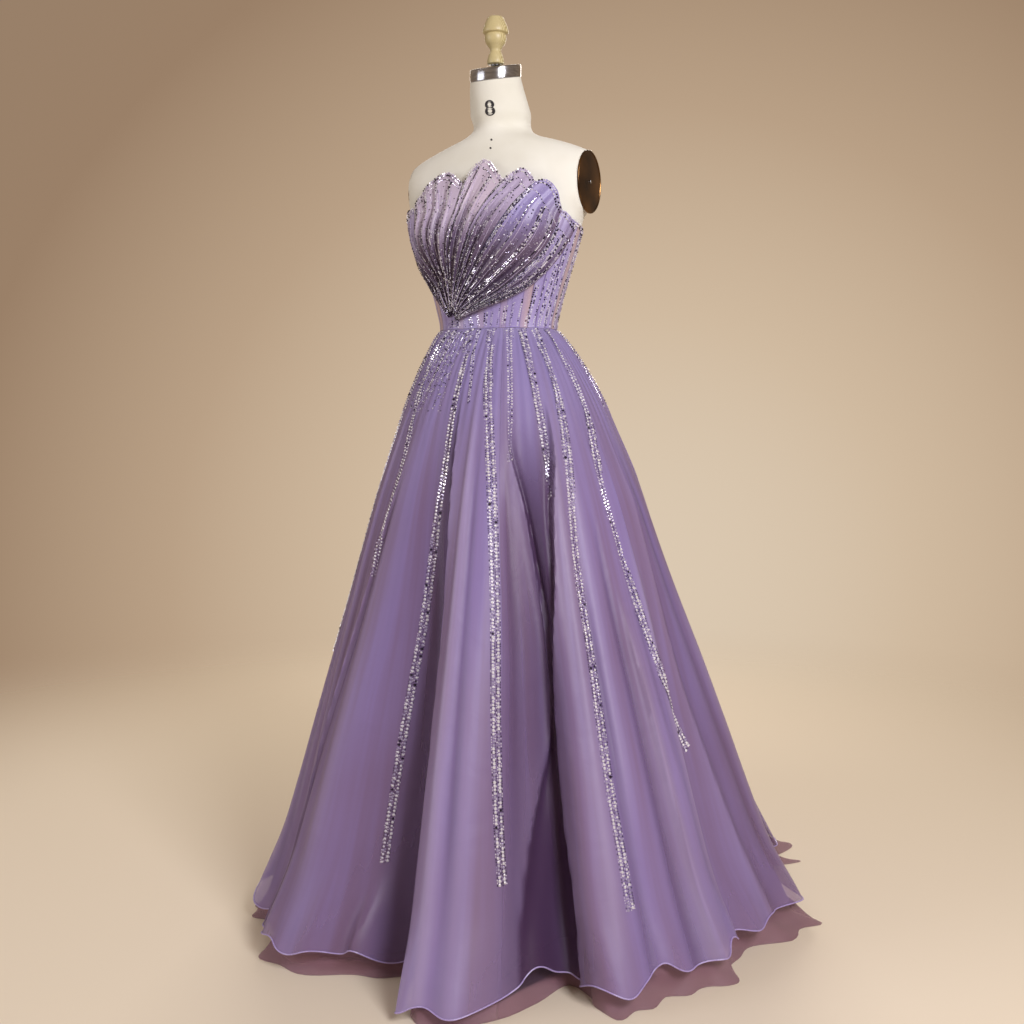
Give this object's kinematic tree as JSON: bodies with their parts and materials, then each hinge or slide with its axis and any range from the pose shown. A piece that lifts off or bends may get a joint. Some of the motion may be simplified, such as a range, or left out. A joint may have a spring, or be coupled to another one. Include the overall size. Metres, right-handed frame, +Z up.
{
  "type": "a-line prom dress on a limbless dress form",
  "caption": "Strapless violet A-line prom gown with a beaded petal-fan bodice and a long folded organza skirt, standing on an ivory dress form.",
  "frame": {"origin": "Centre of the dress form's base plate, on the floor under it.", "axes": "+Z is up along the form's pole, the gown's front faces -Y, and the wearer's left is +X."},
  "size_m": [1.145, 1.2947, 1.7486],
  "materials": {
    "form_cover": "ivory canvas cover, matte",
    "chrome": "polished plate",
    "finial_wood": "turned pine, satin varnish",
    "arm_bronze": "dark bronzed plate",
    "stand_iron": "black enamel",
    "bodice_satin": "violet satin under sheer organza, beaded",
    "petal_organza": "pleated sheer organza, beaded along each pleat",
    "skirt_organza": "layered organza with a soft sheen, rows of beads",
    "under_tulle": "mauve sheer underlayer",
    "glass_beads": "silver-lined glass beads and crystals"
  },
  "bodies": {
    "root": {"form_torso": "form_cover", "form_neck_cap": "chrome", "form_finial_stud": "chrome", "form_finial": "finial_wood", "form_arm_plate_left": "arm_bronze", "form_arm_plate_right": "arm_bronze", "form_pole": "stand_iron", "form_base": "stand_iron", "bodice_front": "bodice_satin", "bodice_side_front_left": "bodice_satin", "bodice_side_left": "bodice_satin", "bodice_back_left": "bodice_satin", "bodice_back_right": "bodice_satin", "bodice_side_right": "bodice_satin", "bodice_side_front_right": "bodice_satin", "petal_1": "petal_organza", "petal_2": "petal_organza", "petal_3": "petal_organza", "petal_4": "petal_organza", "petal_5": "petal_organza", "petal_6": "petal_organza", "skirt_front": "skirt_organza", "skirt_side_front_left": "skirt_organza", "skirt_side_back_left": "skirt_organza", "skirt_back_left": "skirt_organza", "skirt_back_right": "skirt_organza", "skirt_side_back_right": "skirt_organza", "skirt_side_front_right": "skirt_organza", "underskirt_front": "under_tulle", "underskirt_side_front_left": "under_tulle", "underskirt_side_back_left": "under_tulle", "underskirt_back_left": "under_tulle", "underskirt_back_right": "under_tulle", "underskirt_side_back_right": "under_tulle", "underskirt_side_front_right": "under_tulle"}
  },
  "joints": []
}
